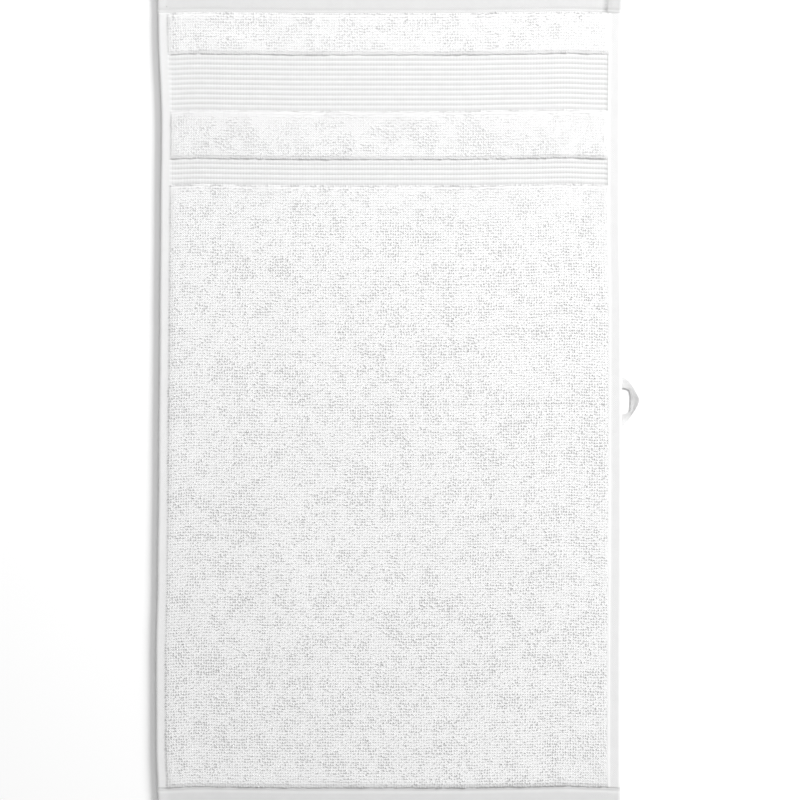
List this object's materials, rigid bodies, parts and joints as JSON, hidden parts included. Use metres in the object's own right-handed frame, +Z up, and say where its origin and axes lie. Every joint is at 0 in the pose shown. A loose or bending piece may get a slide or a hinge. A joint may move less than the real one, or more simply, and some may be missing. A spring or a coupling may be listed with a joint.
{
  "type": "terry guest towel",
  "caption": "Flat white terry guest towel with ribbed woven borders near one end, flat selvedges, turned hems and a tape loop at its long side for hanging.",
  "frame": {"origin": "middle of the cloth's underside, on the surface that the towel lies on", "axes": "+Y along the length to the bordered end, +X across the width to the hanging loop, +Z up from the surface"},
  "size_m": [0.3044, 0.513, 0.0048],
  "materials": {
    "terry_cotton": "matt looped cotton pile, with flat woven ribs, selvedges and hems",
    "woven_tape": "matt close-woven cotton tape"
  },
  "bodies": {
    "root": {"towel": "terry_cotton", "hanging_loop": "woven_tape"}
  },
  "joints": []
}
